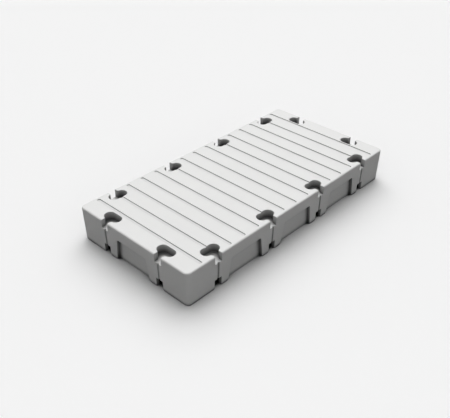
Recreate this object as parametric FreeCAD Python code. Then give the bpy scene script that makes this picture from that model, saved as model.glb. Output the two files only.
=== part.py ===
"""Modular plastic pontoon: one hollow moulded float with a planked deck, coupling pockets and side recesses.

Millimetres, +Z up. The origin is at the middle of the underside, with the length along X and the width along Y.
The sealed air space inside is closed on every side, so the moulding is one solid.
"""
import FreeCAD, Part
import math
import os

# Overall size, with the outline measured where the deck edge starts to round over
length = 2000.0
width = 1000.0
height = 250.0
corner_radius = 35.0
deck_edge_radius = 10.0
foot_chamfer = 9.0
wall_draft = 1.75

# Deck grooves, which divide the deck into planks between the coupling pockets
planks_per_pocket = 4
groove_width = 17.0
groove_depth = 5.0
groove_draft = 15.0
groove_end_gap = 20.0
end_plank_least = 110.0

# Coupling pockets, cut into the deck and into the underside, and open to the wall
pocket_pitch = 496.0
pocket_end_least = 200.0
deck_pocket_depth = 60.0
under_pocket_depth = 68.0
lobe_radius = 38.0
lobe_spacing = 59.0
lobe_inset = 72.5
neck_width = 58.0
throat_radius = 9.0
mouth_chamfer = 3.0

# Half-round channel for the coupling rod, down the wall between the two pockets
channel_radius = 8.0

# Recessed panels between neighbouring pockets, open at the foot
recess_depth = 24.0
recess_height = 165.0
recess_corner_radius = 16.0
recess_side_slope = 8.3
boss_foot_width = 180.0

# How far a cutter runs past the surface that it cuts
overrun = 30.0

Z = FreeCAD.Vector(0, 0, 1)
outline_height = height - deck_edge_radius


def point(x, y, z=0.0):
    return FreeCAD.Vector(x, y, z)


def line(start, end):
    return Part.LineSegment(start, end).toShape()


def tangent(angle):
    """Sideways run for each millimetre along a face that leans by an angle in degrees."""
    return math.tan(math.radians(angle))


def arc_about(centre, radius, start_angle, end_angle):
    """Arc in a level plane, from one angle to another in degrees, whichever way round that runs."""
    turned = [math.radians(start_angle + (end_angle - start_angle) * share) for share in (0.0, 0.5, 1.0)]
    points = [centre + point(radius * math.cos(angle), radius * math.sin(angle)) for angle in turned]
    return Part.Arc(*points).toShape()


def polygon(corners):
    return Part.makePolygon(corners + corners[:1])


def level_edges(shape, z):
    """The edges of a shape that lie in the level plane at a height."""
    return [edge for edge in shape.Edges if all(abs(vertex.Z - z) < 0.001 for vertex in edge.Vertexes)]


def rounded_rectangle(size_x, size_y, radius, z):
    """Closed wire of four sides and four corner arcs, centred on the Z axis."""
    half_x = size_x / 2 - radius
    half_y = size_y / 2 - radius
    corners = [(half_x, half_y, 0), (-half_x, half_y, 90), (-half_x, -half_y, 180), (half_x, -half_y, 270)]
    arcs = [arc_about(point(x, y, z), radius, turn, turn + 90) for x, y, turn in corners]
    edges = []
    for corner, following in zip(arcs, arcs[1:] + arcs[:1]):
        edges.append(corner)
        edges.append(line(corner.lastVertex().Point, following.firstVertex().Point))
    return Part.Wire(edges)


def wall_lean(z):
    """How far the wall stands inside the outline at a height, because it leans in towards the foot."""
    return (outline_height - z) * tangent(wall_draft)


def float_body():
    """The plain float: drafted walls, rounded corners, a rounded deck edge and a chamfered foot."""
    sections = []
    for z in (0.0, height):
        lean = wall_lean(z)
        sections.append(rounded_rectangle(length - 2 * lean, width - 2 * lean, corner_radius - lean, z))
    body = Part.makeLoft(sections, True, True)
    body = body.makeFillet(deck_edge_radius, level_edges(body, height))
    return body.makeChamfer(foot_chamfer, level_edges(body, 0.0))


def half_pocket(wall):
    """Right half of a pocket's outline: round lobe, throat, straight neck and chamfered mouth at Y = wall."""
    lobe = point(lobe_spacing / 2, lobe_inset)
    throat_x = neck_width / 2 + throat_radius
    reach = math.sqrt((lobe_radius + throat_radius) ** 2 - (throat_x - lobe.x) ** 2)
    throat = point(throat_x, lobe.y - reach)
    joint = math.degrees(math.atan2(reach, lobe.x - throat.x))
    neck_end = point(neck_width / 2, wall + mouth_chamfer)
    lobe_arc = arc_about(lobe, lobe_radius, 90, joint - 180)
    throat_arc = arc_about(throat, throat_radius, joint, 180)
    neck = line(throat_arc.lastVertex().Point, neck_end)
    mouth = line(neck_end, neck_end + point(mouth_chamfer, -mouth_chamfer))
    return [lobe_arc, throat_arc, neck, mouth]


def pocket_cutter(bottom, depth, wall):
    """Cutter that reaches up from a bottom, for a wall with its face at Y = wall and material at +Y."""
    right = half_pocket(wall)
    left = [edge.mirror(point(0, 0), point(1, 0)) for edge in right]
    inner = line(left[0].firstVertex().Point, right[0].firstVertex().Point)
    right_end = right[-1].lastVertex().Point
    left_end = left[-1].lastVertex().Point
    run_out = point(0, -overrun - wall)
    outer = Part.makePolygon([right_end, right_end + run_out, left_end + run_out, left_end])
    outline = Part.Wire([inner] + right + outer.Edges + left[::-1])
    outline.translate(point(0, 0, bottom))
    return Part.Face(outline).extrude(point(0, 0, depth + overrun))


def on_wall(cutter):
    """Leans a cutter drawn for an upright wall at Y = 0 so that it follows the drafted wall."""
    leaned = cutter.copy()
    leaned.rotate(point(0, 0, outline_height), point(1, 0, 0), wall_draft)
    return leaned


def channel_cutter():
    """Cutter for the half-round rod channel, from the lower pocket into the upper one."""
    bottom = under_pocket_depth / 2
    top = height - deck_pocket_depth / 2
    return on_wall(Part.makeCylinder(channel_radius, top - bottom, point(0, 0, bottom), Z))


def recess_cutter():
    """Cutter for a side recess, centred between two pockets: a panel that narrows upwards, with round corners."""
    half_foot = (pocket_pitch - boss_foot_width) / 2
    half_low = half_foot + overrun * tangent(recess_side_slope)
    half_top = half_foot - recess_height * tangent(recess_side_slope)
    corners = [(-half_low, -overrun), (half_low, -overrun), (half_top, recess_height), (-half_top, recess_height)]
    panel = Part.Face(polygon([point(x, recess_depth, z) for x, z in corners]))
    cutter = panel.extrude(point(0, -recess_depth - overrun, 0))
    top_corners = [edge for edge in cutter.Edges if all(vertex.Z > recess_height - 1 for vertex in edge.Vertexes)
                   and edge.Vertexes[0].X == edge.Vertexes[1].X]
    return on_wall(cutter.makeFillet(recess_corner_radius, top_corners))


def groove_cutter():
    """Cutter for a deck groove across the width, with sides and ends that open upwards."""
    sections = []
    for rise in (0.0, groove_depth + overrun):
        spread_out = (rise - groove_depth) * tangent(groove_draft)
        half_x = groove_width / 2 + spread_out
        half_y = width / 2 - groove_end_gap + spread_out
        z = height - groove_depth + rise
        sections.append(polygon([point(-half_x, -half_y, z), point(half_x, -half_y, z),
                                 point(half_x, half_y, z), point(-half_x, half_y, z)]))
    return Part.makeLoft(sections, True, True)


def spread(span, pitch, end_least):
    """Places along a span, evenly spaced about its middle, that keep a least distance from its ends."""
    count = int((span - 2 * end_least) / pitch) + 1
    return [(number - (count - 1) / 2) * pitch for number in range(count)]


def put(cutter, turn, distance, along):
    """A cutter drawn for the wall at Y = 0, moved to its place on a wall of the float."""
    placed = cutter.copy()
    placed.translate(point(along, -distance, 0))
    placed.rotate(point(0, 0, 0), Z, turn)
    return placed


def wall_cutters():
    """Every pocket, rod channel and side recess, for the two long walls and the two short ones."""
    at_pockets = [pocket_cutter(height - deck_pocket_depth, deck_pocket_depth, 0.0), channel_cutter(),
                  pocket_cutter(-overrun, under_pocket_depth, wall_lean(under_pocket_depth))]
    recess = recess_cutter()
    cutters = []
    for turn, wall_length, distance in ((0, length, width / 2), (90, width, length / 2),
                                        (180, length, width / 2), (270, width, length / 2)):
        places = spread(wall_length, pocket_pitch, pocket_end_least)
        cutters += [put(cutter, turn, distance, along) for along in places for cutter in at_pockets]
        cutters += [put(recess, turn, distance, along + pocket_pitch / 2) for along in places[:-1]]
    return cutters


def pontoon_body():
    """The whole float."""
    groove = groove_cutter()
    grooves = [groove.translated(point(x, 0, 0))
               for x in spread(length, pocket_pitch / planks_per_pocket, end_plank_least)]
    return float_body().cut(wall_cutters() + grooves)


os.makedirs("parts", exist_ok=True)
shape = pontoon_body()
shape.exportStep("parts/pontoon_body.step")
print("pontoon_body", "valid", shape.isValid(), "solids", len(shape.Solids), "faces", len(shape.Faces),
      "volume_m3", round(shape.Volume / 1e9, 4), shape.optimalBoundingBox(True, False))
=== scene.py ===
# %% [markdown]
# # A modular plastic pontoon
#
# A float like this is one hollow skin of polyethylene. Powder melts against the inside of a turning
# mould, so the piece has no seams, every edge is soft, and the surface has a faint grain. The packed
# part gives its true size and place. This lesson gives it its soft edges and its plastic.

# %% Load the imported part
import math

import bmesh
import bpy
from mathutils import Matrix, Vector


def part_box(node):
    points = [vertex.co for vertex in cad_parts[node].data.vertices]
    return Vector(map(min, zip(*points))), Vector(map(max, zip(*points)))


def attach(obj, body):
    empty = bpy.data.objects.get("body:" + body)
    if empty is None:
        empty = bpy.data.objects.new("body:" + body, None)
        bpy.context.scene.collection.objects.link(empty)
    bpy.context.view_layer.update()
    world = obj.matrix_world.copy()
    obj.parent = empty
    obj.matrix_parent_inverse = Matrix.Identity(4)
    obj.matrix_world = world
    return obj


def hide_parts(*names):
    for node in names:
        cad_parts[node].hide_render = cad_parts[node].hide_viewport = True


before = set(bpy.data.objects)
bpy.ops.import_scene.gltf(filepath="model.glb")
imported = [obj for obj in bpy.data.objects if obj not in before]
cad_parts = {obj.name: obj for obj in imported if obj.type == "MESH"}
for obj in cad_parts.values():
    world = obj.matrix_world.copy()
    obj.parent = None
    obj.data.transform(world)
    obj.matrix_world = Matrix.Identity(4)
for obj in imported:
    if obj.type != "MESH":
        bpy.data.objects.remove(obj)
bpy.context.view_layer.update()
LENGTH, WIDTH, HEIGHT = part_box("pontoon_body")[1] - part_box("pontoon_body")[0]

# %% [markdown]
# ## Sizes
#
# Blender works in metres, while a mould maker thinks in millimetres. One constant keeps every size
# below readable as the figure on a drawing.

# %% Sizes of the moulding
MM = 0.001
CORNER_RADIUS = 35 * MM
DECK_EDGE_RADIUS = 10 * MM
FOOT_EDGE_RADIUS = 11 * MM
WALL_DRAFT = math.radians(1.75)
POCKET_EDGE_RADIUS = 2 * MM
RECESS_EDGE_RADIUS = 1.5 * MM
POCKET_PITCH = 496 * MM
POCKET_DEPTH = 60 * MM
UNDER_POCKET_DEPTH = 68 * MM
OVERRUN = 30 * MM
print(f"pockets every {POCKET_PITCH:.3f} m, their edges rounded to {POCKET_EDGE_RADIUS / MM:.1f} mm")

# %% [markdown]
# ## A solid from a stack of outlines
#
# The float and each shape that is cut out of it are prisms or stacks of level outlines with equal
# numbers of points. One helper joins such outlines with quads and closes both ends, so every solid here
# comes out watertight.

# %% Outlines and stacks
def arc(centre, radius, start, end, steps):
    """Points along a round stretch, from one angle to another in degrees."""
    angles = [math.radians(start + (end - start) * step / steps) for step in range(steps + 1)]
    return [(centre[0] + radius * math.cos(angle), centre[1] + radius * math.sin(angle))
            for angle in angles]


def stack(mesh, rings):
    """Adds a closed solid through a stack of outlines, each a list of corners."""
    loops = [[mesh.verts.new(corner) for corner in ring] for ring in rings]
    sides = [(lower[i - 1], lower[i], upper[i], upper[i - 1])
             for lower, upper in zip(loops, loops[1:]) for i in range(len(lower))]
    faces = [mesh.faces.new(corners) for corners in sides + [loops[0][::-1], loops[-1]]]
    bmesh.ops.recalc_face_normals(mesh, faces=faces)


def solid_object(name, stacks):
    """An object made of one or more stacks of outlines."""
    mesh = bmesh.new()
    for rings in stacks:
        stack(mesh, rings)
    data = bpy.data.meshes.new(name)
    mesh.to_mesh(data)
    mesh.free()
    made = bpy.data.objects.new(name, data)
    bpy.context.scene.collection.objects.link(made)
    print(f"{name}: {len(data.vertices)} corners, {len(data.polygons)} faces")
    return made


def at_height(outline, z):
    """A plan as a ring at a height."""
    return [(x, y, z) for x, y in outline]


# %% [markdown]
# ## The plain float
#
# The mould's walls lean in by a degree or two towards the foot, so that the float comes out. The large
# round-overs of the deck edge and the foot follow a rule, so they are worked out as rings and not
# bevelled: a ring's inset and height run round a quarter circle that touches the deck or the ground and
# the leaning wall.

# %% The plain float
CORNER_STEPS = 20
EDGE_STEPS = 10
OUTLINE_HEIGHT = HEIGHT - DECK_EDGE_RADIUS


def wall_lean(z):
    """How far the wall stands inside the outline at a height."""
    return (OUTLINE_HEIGHT - z) * math.tan(WALL_DRAFT)


def rounded_rectangle(inset, z):
    """Ring round the float at a height, a distance inside its outline."""
    half_x = LENGTH / 2 - CORNER_RADIUS
    half_y = WIDTH / 2 - CORNER_RADIUS
    outline = []
    for turn, side_x, side_y in ((0, 1, 1), (90, -1, 1), (180, -1, -1), (270, 1, -1)):
        centre = (side_x * half_x, side_y * half_y)
        outline += arc(centre, CORNER_RADIUS - inset, turn, turn + 90, CORNER_STEPS)
    return at_height(outline, z)


def edge_rings(radius, middle, start, end):
    """Rings of a round-over whose circle has its centre at a height."""
    centre = wall_lean(middle) + radius / math.cos(WALL_DRAFT)
    return [rounded_rectangle(centre - across, middle + up)
            for across, up in arc((0, 0), radius, start, end, EDGE_STEPS)]


draft_turn = -math.degrees(WALL_DRAFT)
foot = edge_rings(FOOT_EDGE_RADIUS, FOOT_EDGE_RADIUS, -90, draft_turn)
deck = edge_rings(DECK_EDGE_RADIUS, OUTLINE_HEIGHT, draft_turn, 90)
moulding = solid_object("pontoon_moulding", [foot + deck])

# %% [markdown]
# ## The coupling pockets
#
# Each pocket takes half of a double-headed coupler: two round lobes behind a narrow neck. The cutter is
# drawn once, for a wall at Y = 0, as arcs that run into each other. The underside has the same pocket
# turned over and a little deeper, so one cutter object holds both and a rod can run between them.

# %% The pocket cutter
LOBE_RADIUS = 38 * MM
LOBE_SPACING = 59 * MM
LOBE_INSET = 72.5 * MM
NECK_WIDTH = 58 * MM
THROAT_RADIUS = 9 * MM
LOBE_STEPS = 28
THROAT_STEPS = 7


def pocket_outline():
    """Plan of a pocket: the right half from the back lobe out through the wall, then the same mirrored."""
    lobe = (LOBE_SPACING / 2, LOBE_INSET)
    throat_x = NECK_WIDTH / 2 + THROAT_RADIUS
    reach = math.sqrt((LOBE_RADIUS + THROAT_RADIUS) ** 2 - (throat_x - lobe[0]) ** 2)
    joint = math.degrees(math.atan2(reach, lobe[0] - throat_x))
    right = arc(lobe, LOBE_RADIUS, 90, joint - 180, LOBE_STEPS)[:-1]
    right += arc((throat_x, lobe[1] - reach), THROAT_RADIUS, joint, 180, THROAT_STEPS)
    right.append((NECK_WIDTH / 2, -OVERRUN))
    return right + [(-x, y) for x, y in reversed(right)]


plan = pocket_outline()
deck_pocket = [at_height(plan, z) for z in (HEIGHT - POCKET_DEPTH, HEIGHT + OVERRUN)]
under_pocket = [at_height(plan, z) for z in (-OVERRUN, UNDER_POCKET_DEPTH)]
pocket_cutter = solid_object("pocket_cutter", [deck_pocket, under_pocket])

# %% [markdown]
# ## The side recesses
#
# Between two pockets the wall steps back into a panel that narrows upwards and is open at the foot. Its
# outline is drawn standing up, pushed into the wall, and leaned by the wall's draft so that the step is
# equally deep all over.

# %% The recess cutter
RECESS_DEPTH = 24 * MM
RECESS_HEIGHT = 165 * MM
RECESS_FOOT_WIDTH = 316 * MM
RECESS_SIDE_SLOPE = math.radians(8.3)
RECESS_CORNER_RADIUS = 16 * MM
RECESS_CORNER_STEPS = 8


def leaned(ring):
    """Turns a ring drawn for an upright wall at Y = 0 so that it follows the leaning wall."""
    pivot = Vector((0, 0, OUTLINE_HEIGHT))
    lean = Matrix.Rotation(WALL_DRAFT, 3, "X")
    return [lean @ (Vector(corner) - pivot) + pivot for corner in ring]


def recess_ring(y):
    """Outline of a recess in its wall: two feet below the float and two round corners at the top."""
    slope = math.tan(RECESS_SIDE_SLOPE)
    low = RECESS_FOOT_WIDTH / 2 + OVERRUN * slope
    side = math.degrees(RECESS_SIDE_SLOPE)
    centre_z = RECESS_HEIGHT - RECESS_CORNER_RADIUS
    centre_x = RECESS_FOOT_WIDTH / 2 - centre_z * slope - RECESS_CORNER_RADIUS / math.cos(RECESS_SIDE_SLOPE)
    right = [(low, -OVERRUN)]
    right += arc((centre_x, centre_z), RECESS_CORNER_RADIUS, side, 90, RECESS_CORNER_STEPS)
    return leaned([(x, y, z) for x, z in right + [(-x, z) for x, z in reversed(right)]])


recess_cutter = solid_object("recess_cutter", [[recess_ring(-OVERRUN), recess_ring(RECESS_DEPTH)]])

# %% [markdown]
# ## Rod channels and deck grooves
#
# These thin cuts come after the soft edges are made, so their lips are drawn into the cutters: a
# section opens through a small arc on each side and stops just short of lying flat on the surface that
# it cuts.

# %% The channel and groove cutters
CHANNEL_RADIUS = 8 * MM
CHANNEL_LIP = 2.5 * MM
GROOVE_FLAT = 9 * MM
GROOVE_BOTTOM_RADIUS = 2.2 * MM
GROOVE_LIP = 1.8 * MM
GROOVE_DEPTH = 5 * MM
GROOVE_END_GAP = 18 * MM
LIP_STOP_DEGREES = 15
RUN_OUT = 3 * MM
SECTION_STEPS = 10
LIP_STEPS = 5
SIDEWAYS_RUN_OUT = RUN_OUT / math.tan(math.radians(LIP_STOP_DEGREES))


def channel_outline():
    """Plan of a rod channel in a wall at Y = 0: half a circle with rounded lips."""
    lip_x = math.sqrt((CHANNEL_RADIUS + CHANNEL_LIP) ** 2 - CHANNEL_LIP ** 2)
    joint = math.degrees(math.atan2(CHANNEL_LIP, lip_x))
    lip = arc((lip_x, CHANNEL_LIP), CHANNEL_LIP, 270 - LIP_STOP_DEGREES, 180 + joint, LIP_STEPS)
    outside = (lip[0][0] + SIDEWAYS_RUN_OUT, lip[0][1] - RUN_OUT)
    right = [outside] + lip + arc((0, 0), CHANNEL_RADIUS, joint, 90, SECTION_STEPS)[1:]
    return right + [(-x, y) for x, y in reversed(right[:-1])]


channel = [leaned(at_height(channel_outline(), z)) for z in (POCKET_DEPTH / 2, HEIGHT - POCKET_DEPTH / 2)]
channel_cutter = solid_object("channel_cutter", [channel])


def groove_ring(half_width, z):
    """Level outline of a groove across the deck, with round ends."""
    straight = WIDTH / 2 - GROOVE_END_GAP - GROOVE_FLAT - GROOVE_BOTTOM_RADIUS - GROOVE_LIP
    ends = arc((0, straight), half_width, 0, 180, SECTION_STEPS)
    ends += arc((0, -straight), half_width, 180, 360, SECTION_STEPS)
    return at_height(ends, z)


def groove_rings():
    """The groove from its flat bottom up to its lips, and on above the deck."""
    bottom = (GROOVE_FLAT, HEIGHT - GROOVE_DEPTH + GROOVE_BOTTOM_RADIUS)
    lip = (GROOVE_FLAT + GROOVE_BOTTOM_RADIUS + GROOVE_LIP, HEIGHT - GROOVE_LIP)
    section = arc(bottom, GROOVE_BOTTOM_RADIUS, -90, 0, LIP_STEPS)
    section += arc(lip, GROOVE_LIP, 180, 90 + LIP_STOP_DEGREES, LIP_STEPS)
    section.append((section[-1][0] + SIDEWAYS_RUN_OUT, section[-1][1] + RUN_OUT))
    return [groove_ring(half_width, z) for half_width, z in section]


groove_cutter = solid_object("groove_cutter", [groove_rings()])

# %% [markdown]
# ## One way to add a node
#
# Geometry trees and materials are both built from nodes. This function adds one, sets its options, and
# fills each input with a value or with a link from another node, so that a tree reads from top to
# bottom like a recipe.

# %% Adding a node
def add_node(tree, kind, options=None, **inputs):
    """Adds a node. An input's key is its socket's name with _ for a space, or in_ and its number."""
    made = tree.nodes.new(kind)
    for option, value in (options or {}).items():
        setattr(made, option, value)
    for key, value in inputs.items():
        socket = made.inputs[int(key[3:])] if key.startswith("in_") else made.inputs[key.replace("_", " ")]
        for item in value if isinstance(value, list) else [value]:
            if isinstance(item, bpy.types.NodeSocket):
                tree.links.new(item, socket)
            else:
                socket.default_value = item
    return made


# %% [markdown]
# ## Moulded polyethylene
#
# The plastic is polyethylene, pigmented light grey, and its skin copies the mould: a fine grain and a
# very slight waviness, with no gloss coat. Typical values are an IOR of 1.51 and a roughness near a
# half. The pigment is not quite even, so the colour drifts a little over a hand's width. The grain is
# about a millimetre across and is drawn at that size, and the waviness is a few centimetres. Shade is
# painted into the colour where a place is closed in, and Ambient Occlusion nodes find such places by
# how open they are. One looks a hand's width around and paints shade into the pockets. One looks a
# thumb's length around and paints shade into the seams: grooves, rod channels and the foot on the
# ground. One looks a metre around and paints shade where a ledge or a wall shelters a place.

# %% The plastic
PLASTIC_PALE = "#E4E4E3"
PLASTIC_DEEP = "#DEDEDD"
DRIFT_SIZE = 180 * MM
DRIFT_DETAIL = 3.0
WAVE_SIZE = 60 * MM
WAVE_DETAIL = 1.0
WAVE_HEIGHT = 1.5 * MM
WAVE_STRENGTH = 0.10
GRAIN_SIZE = 1.4 * MM
GRAIN_DETAIL = 2.0
GRAIN_HEIGHT = 0.15 * MM
GRAIN_STRENGTH = 0.12
LEAST_ROUGHNESS = 0.46
MOST_ROUGHNESS = 0.58
POLYETHYLENE_IOR = 1.51
# Painted shade: a near-black mixed into the colour where Ambient Occlusion finds pockets, seams and ledges
# closing a place in
PAINTED_SHADE = "#202020"
OPENNESS_SAMPLES = 12
SHELTER_PAINTED_SHADE = {"reach": 1000 * MM, "closed": 0.12, "full": 0.5, "least": 0.35}
SEAM_PAINTED_SHADE = {"reach": 35 * MM, "closed": 0.2, "full": 0.96, "least": 0.0}
POCKET_PAINTED_SHADE = {"reach": 100 * MM, "closed": 0.0, "full": 0.58, "least": 0.0}


def linear(hex_colour):
    """A colour written as sRGB hex, as the linear colour that a shader needs."""
    shares = [int(hex_colour[i:i + 2], 16) / 255 for i in (1, 3, 5)]
    return tuple(c / 12.92 if c <= 0.04045 else ((c + 0.055) / 1.055) ** 2.4 for c in shares) + (1.0,)


def unshaded_share(tree, shades):
    """How far a place is left out of the painted shade, from 1 in the open down to 0.

    Each shade scales what the one before it left: by its least value where the open share within its
    reach is closed or less, and by 1 where it is full or more. Only the first may have a least above 0.
    """
    # Painted shade: 1 leaves the colour as it is, and lower values darken it where a place is closed in
    unshaded = 1.0
    for shade in shades:
        share = add_node(tree, "ShaderNodeAmbientOcclusion", {"samples": OPENNESS_SAMPLES},
                         Distance=shade["reach"]).outputs["AO"]
        unshaded = add_node(tree, "ShaderNodeMapRange", Value=share, From_Min=shade["closed"],
                         From_Max=shade["full"], To_Min=shade["least"], To_Max=unshaded).outputs["Result"]
    return unshaded


def rotomoulded_polyethylene():
    """Light grey polyethylene with the grain and faint waviness of a mould's inside, and painted shade in
    its pockets, seams and sheltered places.
    """
    material = bpy.data.materials.new("rotomoulded_polyethylene")
    material.use_nodes = True
    tree = material.node_tree
    tree.nodes.clear()
    place = add_node(tree, "ShaderNodeTexCoord").outputs["Object"]
    patterns = ((DRIFT_SIZE, DRIFT_DETAIL), (WAVE_SIZE, WAVE_DETAIL), (GRAIN_SIZE, GRAIN_DETAIL))
    drift, wave, grain = [add_node(tree, "ShaderNodeTexNoise", Vector=place, Scale=1 / size,
                                   Detail=detail).outputs["Fac"] for size, detail in patterns]
    colour = add_node(tree, "ShaderNodeMix", {"data_type": "RGBA"}, in_0=drift, in_6=linear(PLASTIC_DEEP),
                      in_7=linear(PLASTIC_PALE)).outputs[2]
    # Painted shade: the colour darkens towards near-black in pockets, seams and sheltered places
    colour = add_node(tree, "ShaderNodeMix", {"data_type": "RGBA"}, in_6=linear(PAINTED_SHADE), in_7=colour,
                      in_0=unshaded_share(tree, (SHELTER_PAINTED_SHADE, SEAM_PAINTED_SHADE, POCKET_PAINTED_SHADE))).outputs[2]
    rough = add_node(tree, "ShaderNodeMapRange", Value=grain, To_Min=LEAST_ROUGHNESS,
                     To_Max=MOST_ROUGHNESS).outputs["Result"]
    waved = add_node(tree, "ShaderNodeBump", Height=wave, Strength=WAVE_STRENGTH,
                     Distance=WAVE_HEIGHT).outputs["Normal"]
    grained = add_node(tree, "ShaderNodeBump", Height=grain, Strength=GRAIN_STRENGTH,
                       Distance=GRAIN_HEIGHT, Normal=waved).outputs["Normal"]
    shader = add_node(tree, "ShaderNodeBsdfPrincipled", Base_Color=colour, Roughness=rough, Normal=grained,
                      IOR=POLYETHYLENE_IOR)
    add_node(tree, "ShaderNodeOutputMaterial", Surface=shader.outputs["BSDF"])
    return material


plastic = rotomoulded_polyethylene()
print(f"{plastic.name}: {len(plastic.node_tree.nodes)} nodes")

# %% [markdown]
# ## Cutting what repeats
#
# Pockets, recesses and channels repeat along all four walls at one pitch, so one Geometry Nodes tree
# places a cutter in a row along each wall and subtracts all the rows at once. Its inputs are the
# cutter, the pitch, the float's length and width, and how many stand along a long and a short wall. The
# same helper that builds a row also serves the deck's grooves.

# %% Trees that cut rows
def new_tree(name, sockets):
    """An empty geometry tree with a Geometry input and output and further named inputs."""
    tree = bpy.data.node_groups.new(name, "GeometryNodeTree")
    tree.interface.new_socket("Geometry", in_out="OUTPUT", socket_type="NodeSocketGeometry")
    for socket, kind in [("Geometry", "Geometry")] + sockets:
        tree.interface.new_socket(socket, in_out="INPUT", socket_type="NodeSocket" + kind)
    return tree, add_node(tree, "NodeGroupInput").outputs


def row(tree, cutter, count, pitch, across, turn):
    """A row of cutters along one of two walls that stand across from each other, turned about Z."""
    gaps = add_node(tree, "ShaderNodeMath", {"operation": "SUBTRACT"}, in_0=count, in_1=1.0).outputs[0]
    run = add_node(tree, "ShaderNodeMath", {"operation": "MULTIPLY"}, in_0=gaps, in_1=pitch).outputs[0]
    spread = add_node(tree, "ShaderNodeCombineXYZ", X=run, Y=across).outputs[0]
    start = add_node(tree, "ShaderNodeVectorMath", {"operation": "SCALE"}, in_0=spread,
                     Scale=-0.5).outputs[0]
    step = add_node(tree, "ShaderNodeCombineXYZ", X=pitch).outputs[0]
    line = add_node(tree, "GeometryNodeMeshLine", {"mode": "OFFSET"}, Count=count, Start_Location=start,
                    Offset=step).outputs[0]
    placed = add_node(tree, "GeometryNodeInstanceOnPoints", Points=line, Instance=cutter).outputs[0]
    return add_node(tree, "GeometryNodeTransform", Geometry=placed, Rotation=(0, 0, turn)).outputs[0]


def cut_and_finish(tree, given, rows):
    """Subtracts rows of cutters from the given geometry and gives the result its material."""
    cutters = add_node(tree, "GeometryNodeJoinGeometry", Geometry=rows).outputs[0]
    solids = add_node(tree, "GeometryNodeRealizeInstances", Geometry=cutters).outputs[0]
    cut = add_node(tree, "GeometryNodeMeshBoolean", {"operation": "DIFFERENCE"}, Mesh_1=given["Geometry"],
                   Mesh_2=solids).outputs[0]
    whole = add_node(tree, "GeometryNodeRealizeInstances", Geometry=cut).outputs[0]
    dressed = add_node(tree, "GeometryNodeSetMaterial", Geometry=whole,
                       Material=given["Material"]).outputs[0]
    add_node(tree, "NodeGroupOutput", Geometry=dressed)
    return tree


def wall_tree():
    """Cuts a row of one cutter into each of the four walls."""
    tree, given = new_tree("cut_rows_into_walls", [
        ("Cutter", "Object"), ("Pitch", "Float"), ("Along Long Wall", "Int"), ("Along Short Wall", "Int"),
        ("Length", "Float"), ("Width", "Float"), ("Material", "Material")])
    cutter = add_node(tree, "GeometryNodeObjectInfo", {"transform_space": "ORIGINAL"},
                      Object=given["Cutter"]).outputs["Geometry"]
    long_wall = (given["Along Long Wall"], given["Width"])
    short_wall = (given["Along Short Wall"], given["Length"])
    rows = [row(tree, cutter, count, given["Pitch"], across, quarter * math.pi / 2)
            for quarter, (count, across) in enumerate((long_wall, short_wall, long_wall, short_wall))]
    return cut_and_finish(tree, given, rows)


def deck_tree():
    """Cuts one row of grooves into the deck, evenly spaced about the middle."""
    tree, given = new_tree("cut_grooves_into_deck", [
        ("Cutter", "Object"), ("Pitch", "Float"), ("Count", "Int"), ("Material", "Material")])
    cutter = add_node(tree, "GeometryNodeObjectInfo", {"transform_space": "ORIGINAL"},
                      Object=given["Cutter"]).outputs["Geometry"]
    return cut_and_finish(tree, given, [row(tree, cutter, given["Count"], given["Pitch"], 0.0, 0.0)])


cut_walls = wall_tree()
cut_deck = deck_tree()
print(f"{cut_walls.name}: {len(cut_walls.nodes)} nodes, {cut_deck.name}: {len(cut_deck.nodes)} nodes")

# %% [markdown]
# ## Cutting the float, with soft edges in between
#
# The order matters. Pockets come first, and a Bevel modifier rounds every edge sharper than 40 degrees,
# which is each pocket's lip and floor, while the finely stepped round-overs are too gentle to be
# touched. The recesses follow with a tighter Bevel of their own, which leaves the edges that are
# already round alone. The thin channels and grooves come last, with the lips that were drawn into them.

# %% The modifier stack
WALL_COUNTS = {"pocket": (4, 2), "recess": (3, 1)}
PLANKS_PER_POCKET = 4
GROOVE_COUNT = 15
SOFTENED_ANGLE = math.radians(40)


def add_cut(name, tree, inputs):
    """Adds a Geometry Nodes modifier and sets its named inputs by their identifiers."""
    modifier = moulding.modifiers.new(name, "NODES")
    modifier.node_group = tree
    for item in tree.interface.items_tree:
        if item.item_type == "SOCKET" and item.in_out == "INPUT" and item.name in inputs:
            modifier[item.identifier] = inputs[item.name]


def soften(name, radius, segments):
    """Adds a Bevel that rounds every edge sharper than the softened angle."""
    bevel = moulding.modifiers.new(name, "BEVEL")
    bevel.width = radius
    bevel.segments = segments
    bevel.limit_method = "ANGLE"
    bevel.angle_limit = SOFTENED_ANGLE
    bevel.use_clamp_overlap = False


def wall_inputs(cutter, counts):
    """What a cut into the walls is told: the cutter, and how many stand along a long and a short wall."""
    along_long, along_short = counts
    return {"Cutter": cutter, "Pitch": POCKET_PITCH, "Along Long Wall": along_long,
            "Along Short Wall": along_short, "Length": LENGTH, "Width": WIDTH, "Material": plastic}


add_cut("pockets", cut_walls, wall_inputs(pocket_cutter, WALL_COUNTS["pocket"]))
soften("pocket_edges", POCKET_EDGE_RADIUS, segments=4)
add_cut("recesses", cut_walls, wall_inputs(recess_cutter, WALL_COUNTS["recess"]))
soften("recess_edges", RECESS_EDGE_RADIUS, segments=3)
add_cut("channels", cut_walls, wall_inputs(channel_cutter, WALL_COUNTS["pocket"]))
add_cut("grooves", cut_deck, {"Cutter": groove_cutter, "Pitch": POCKET_PITCH / PLANKS_PER_POCKET,
                              "Count": GROOVE_COUNT, "Material": plastic})


def applied(piece):
    """Turns a piece with its modifiers into a plain mesh."""
    evaluated = piece.evaluated_get(bpy.context.evaluated_depsgraph_get())
    plain = bpy.data.meshes.new_from_object(evaluated)
    piece.modifiers.clear()
    piece.data = plain
    return plain


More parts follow.
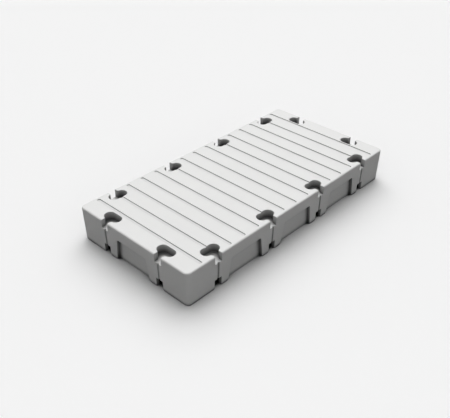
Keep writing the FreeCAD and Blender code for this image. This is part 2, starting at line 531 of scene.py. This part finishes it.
cut_mesh = applied(moulding)
for cutter in (pocket_cutter, recess_cutter, channel_cutter, groove_cutter):
    bpy.data.objects.remove(cutter)
print(f"{moulding.name}: {len(cut_mesh.polygons)} faces")

# %% [markdown]
# ## Shading that follows the mould
#
# A rounded edge only looks round if the light runs smoothly over it, and a flat panel only looks flat
# if the round edges don't pull its shading. Every face is set smooth, corners sharper than 50 degrees
# stay sharp, and a Weighted Normal modifier lets each vertex follow the largest face that meets it. The
# cuts leave a few vertices some micrometres above the deck, so these are set level with it.

# %% Smooth edges and flat panels
SHARP_ANGLE = math.radians(50)
cut_mesh.shade_smooth()
cut_mesh.set_sharp_from_angle(angle=SHARP_ANGLE)
weighted = moulding.modifiers.new("panel_normals", "WEIGHTED_NORMAL")
weighted.mode = "FACE_AREA"
weighted.keep_sharp = True
final_mesh = applied(moulding)
final_mesh.materials.clear()
final_mesh.materials.append(plastic)
for vertex in final_mesh.vertices:
    vertex.co.z = min(vertex.co.z, HEIGHT)
print(f"{moulding.name}: {sum(len(face.vertices) - 2 for face in final_mesh.polygons)} triangles")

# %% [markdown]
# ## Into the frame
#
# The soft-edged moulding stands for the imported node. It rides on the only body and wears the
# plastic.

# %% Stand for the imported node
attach(moulding, "root")
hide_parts("pontoon_body")
print(f"{moulding.name} stands for pontoon_body")

# %% [markdown]
# ## Floor and light
#
# The float stands on a pale floor whose paint carries a painted shadow under and close beside the float.
# Three very soft lamps light it from overhead: a key from above and behind, and two lamps as wide as
# the sky, the dome and the haze. Light from the key and the haze stops at what it reaches, and light
# from the dome goes on for one bounce, mostly from the floor to the walls. So walls, pockets and grooves
# are as dark as they are turned away or deep, darkened further by painted shade, and a soft shadow,
# partly cast by the lamps and partly painted, hugs the foot. The sky is only for the eye and for gloss.

# %% Floor and lamps
FLOOR_PALE = "#FEFEFE"
# Painted shadow: the floor darkens to near-black in the gaps under the float and a little close beside it
FLOOR_PAINTED_SHADOW = "#202020"
PAINTED_SHADOW_BESIDE_THE_FLOAT = {"reach": 100 * MM, "closed": 0.6, "full": 0.95, "least": 0.85}
PAINTED_SHADOW_UNDER_THE_FLOAT = {"reach": 100 * MM, "closed": 0.3, "full": 0.5, "least": 0.0}
FLOOR_SIZE = 80.0
KEY_STRENGTH = 1.87
KEY_SPREAD = math.radians(62)
KEY_TILT = math.radians(35)
DOME_STRENGTH = 0.45
HAZE_STRENGTH = 0.88
DOME_SPREAD = math.radians(180)
VIEW_AZIMUTH = math.radians(43.48)


def direction(azimuth, elevation):
    """The unit vector that points to an azimuth and an elevation."""
    return Vector((math.cos(elevation) * math.cos(azimuth), math.cos(elevation) * math.sin(azimuth),
                   math.sin(elevation)))


def floor_paint():
    """Pale matt floor paint with a painted shadow: dark in the gaps under the float and a shade darker
    close beside it.
    """
    material = bpy.data.materials.new("studio_floor_paint")
    material.use_nodes = True
    tree = material.node_tree
    tree.nodes.clear()
    # Painted shadow mixed into the floor paint where the float closes the floor in
    colour = add_node(tree, "ShaderNodeMix", {"data_type": "RGBA"}, in_6=linear(FLOOR_PAINTED_SHADOW),
                      in_7=linear(FLOOR_PALE),
                      in_0=unshaded_share(tree, (PAINTED_SHADOW_BESIDE_THE_FLOAT, PAINTED_SHADOW_UNDER_THE_FLOAT))).outputs[2]
    shader = add_node(tree, "ShaderNodeBsdfDiffuse", Color=colour)
    add_node(tree, "ShaderNodeOutputMaterial", Surface=shader.outputs["BSDF"])
    return material


def soft_lamp(name, strength, spread, tilt, bounces):
    """A lamp as wide as a piece of sky, tilted away from the viewer. Its light goes on for some bounces."""
    data = bpy.data.lights.new(name, "SUN")
    data.energy = strength
    data.angle = spread
    data.cycles.max_bounces = bounces
    data.cycles.use_multiple_importance_sampling = False
    lamp = bpy.data.objects.new(name, data)
    lamp.rotation_mode = "QUATERNION"
    lamp.rotation_quaternion = direction(VIEW_AZIMUTH, math.pi / 2 - tilt).to_track_quat("Z", "Y")
    bpy.context.scene.collection.objects.link(lamp)
    print(f"{name}: strength {strength}, {math.degrees(spread):.0f} degrees wide")


floor_mesh = bmesh.new()
bmesh.ops.create_grid(floor_mesh, x_segments=1, y_segments=1, size=FLOOR_SIZE / 2)
floor_data = bpy.data.meshes.new("studio_floor")
floor_mesh.to_mesh(floor_data)
floor_mesh.free()
floor_data.materials.append(floor_paint())
floor = bpy.data.objects.new("studio_floor", floor_data)
bpy.context.scene.collection.objects.link(floor)
soft_lamp("studio_key", KEY_STRENGTH, KEY_SPREAD, KEY_TILT, bounces=0)
soft_lamp("studio_dome", DOME_STRENGTH, DOME_SPREAD, tilt=0.0, bounces=1)
soft_lamp("studio_haze", HAZE_STRENGTH, DOME_SPREAD, tilt=0.0, bounces=0)

# %% The sky
SKY_PALE = "#F3F3F3"
sky = bpy.data.worlds.new("studio_sky")
sky.use_nodes = True
sky_nodes = sky.node_tree
sky_nodes.nodes.clear()
path = add_node(sky_nodes, "ShaderNodeLightPath").outputs
seen = add_node(sky_nodes, "ShaderNodeMath", {"operation": "MAXIMUM"}, in_0=path["Is Camera Ray"],
                in_1=path["Is Glossy Ray"]).outputs[0]
seen = add_node(sky_nodes, "ShaderNodeMath", {"operation": "MAXIMUM"}, in_0=seen,
                in_1=path["Is Transmission Ray"]).outputs[0]
glow = add_node(sky_nodes, "ShaderNodeBackground", Color=linear(SKY_PALE), Strength=seen)
add_node(sky_nodes, "ShaderNodeOutputWorld", Surface=glow.outputs[0])
bpy.context.scene.world = sky
print(f"{sky.name}: seen by the camera and by reflections, and lights nothing itself")

# %% [markdown]
# ## The camera
#
# The photograph's camera was found by fitting the float's corners, pockets and grooves to the picture:
# its place, its heading and its lens follow from that fit, in the same frame as the part.

# %% The camera
CAMERA_PLACE = Vector((-2.9, -2.593, 2.623))
CAMERA_DOWN = math.radians(34.3)
CAMERA_ROLL = math.radians(0.13)
FOCAL_PIXELS = 657.5
IMAGE_WIDTH = 450
SENSOR_WIDTH = 36.0
FARTHEST_SEEN = 200.0

forward = direction(VIEW_AZIMUTH, -CAMERA_DOWN)
level_right = Vector((math.sin(VIEW_AZIMUTH), -math.cos(VIEW_AZIMUTH), 0))
level_up = level_right.cross(forward)
right = level_right * math.cos(CAMERA_ROLL) + level_up * math.sin(CAMERA_ROLL)
up = level_up * math.cos(CAMERA_ROLL) - level_right * math.sin(CAMERA_ROLL)
camera_data = bpy.data.cameras.new("camera")
camera_data.sensor_fit = "HORIZONTAL"
camera_data.sensor_width = SENSOR_WIDTH
camera_data.lens = SENSOR_WIDTH * FOCAL_PIXELS / IMAGE_WIDTH
camera_data.clip_end = FARTHEST_SEEN
camera = bpy.data.objects.new("camera", camera_data)
turned = Matrix((right, up, -forward)).transposed().to_4x4()
camera.matrix_world = Matrix.Translation(CAMERA_PLACE) @ turned
bpy.context.scene.collection.objects.link(camera)
bpy.context.scene.camera = camera
bpy.context.scene.view_settings.view_transform = "Standard"
print(f"lens {camera_data.lens:.1f} mm")
